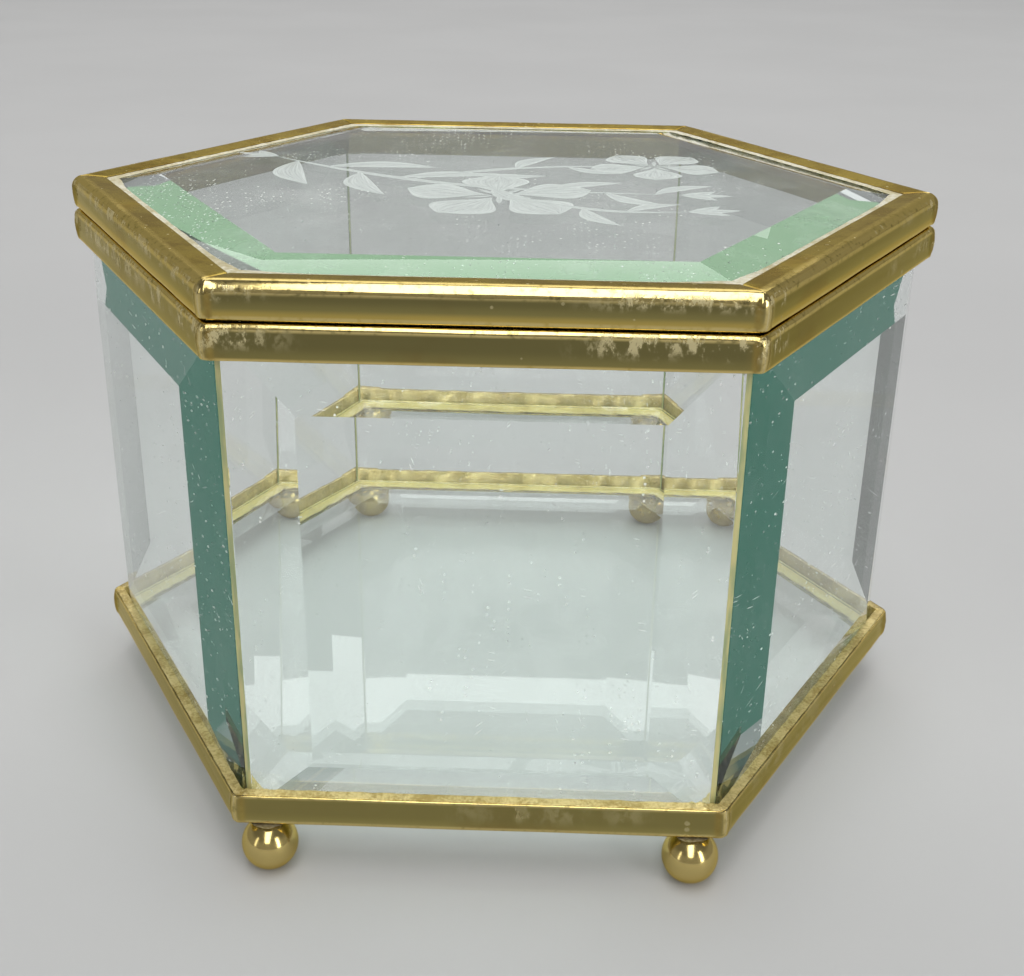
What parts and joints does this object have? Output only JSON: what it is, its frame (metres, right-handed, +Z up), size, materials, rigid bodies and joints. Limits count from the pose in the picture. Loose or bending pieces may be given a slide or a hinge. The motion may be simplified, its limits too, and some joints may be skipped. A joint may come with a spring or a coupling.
{
  "type": "glass casket box",
  "caption": "Hexagonal keepsake casket of bevelled plate glass in folded brass strip, with a lid on a stop hinge at the back and ball feet.",
  "frame": {"origin": "on the table, under the middle of the box", "axes": "+Z up, +X to the right as seen from the front, front panel facing -Y, hinge at the back at +Y"},
  "size_m": [0.1616, 0.1482, 0.1024],
  "materials": {
    "brass_strip": "aged lacquered brass, tarnished at the corners",
    "brass_ball": "polished brass",
    "brass_hinge": "aged brass",
    "plate_glass": "clear bevelled plate glass",
    "cement": "hard clear to whitish glazing cement",
    "solder": "dull soft solder"
  },
  "bodies": {
    "case": {"base_frame": "brass_strip", "base_bedding": "cement", "base_bead": "cement", "floor_glass": "plate_glass", "wall_glass_front": "plate_glass", "wall_glass_front_right": "plate_glass", "wall_glass_back_right": "plate_glass", "wall_glass_back": "plate_glass", "wall_glass_back_left": "plate_glass", "wall_glass_front_left": "plate_glass", "corner_seam_1": "cement", "corner_seam_2": "cement", "corner_seam_3": "cement", "corner_seam_4": "cement", "corner_seam_5": "cement", "corner_seam_6": "cement", "collar_frame": "brass_strip", "collar_bedding": "cement", "ball_foot_front_left": "brass_ball", "ball_foot_front_right": "brass_ball", "ball_foot_back_left": "brass_ball", "ball_foot_back_right": "brass_ball", "foot_solder_front_left": "solder", "foot_solder_front_right": "solder", "foot_solder_back_left": "solder", "foot_solder_back_right": "solder", "hinge_body_leaf": "brass_hinge", "hinge_pin": "brass_hinge"},
    "lid": {"lid_frame": "brass_strip", "lid_glass": "plate_glass", "lid_bedding": "cement", "lid_bead": "cement", "hinge_lid_leaf": "brass_hinge"}
  },
  "joints": [
    {"name": "lid_hinge", "type": "hinge", "parent": "case", "child": "lid", "pos_m": [0, 0.0716, 0.09597], "axis": [-1, 0, 0], "range_deg": [0, 100]}
  ]
}
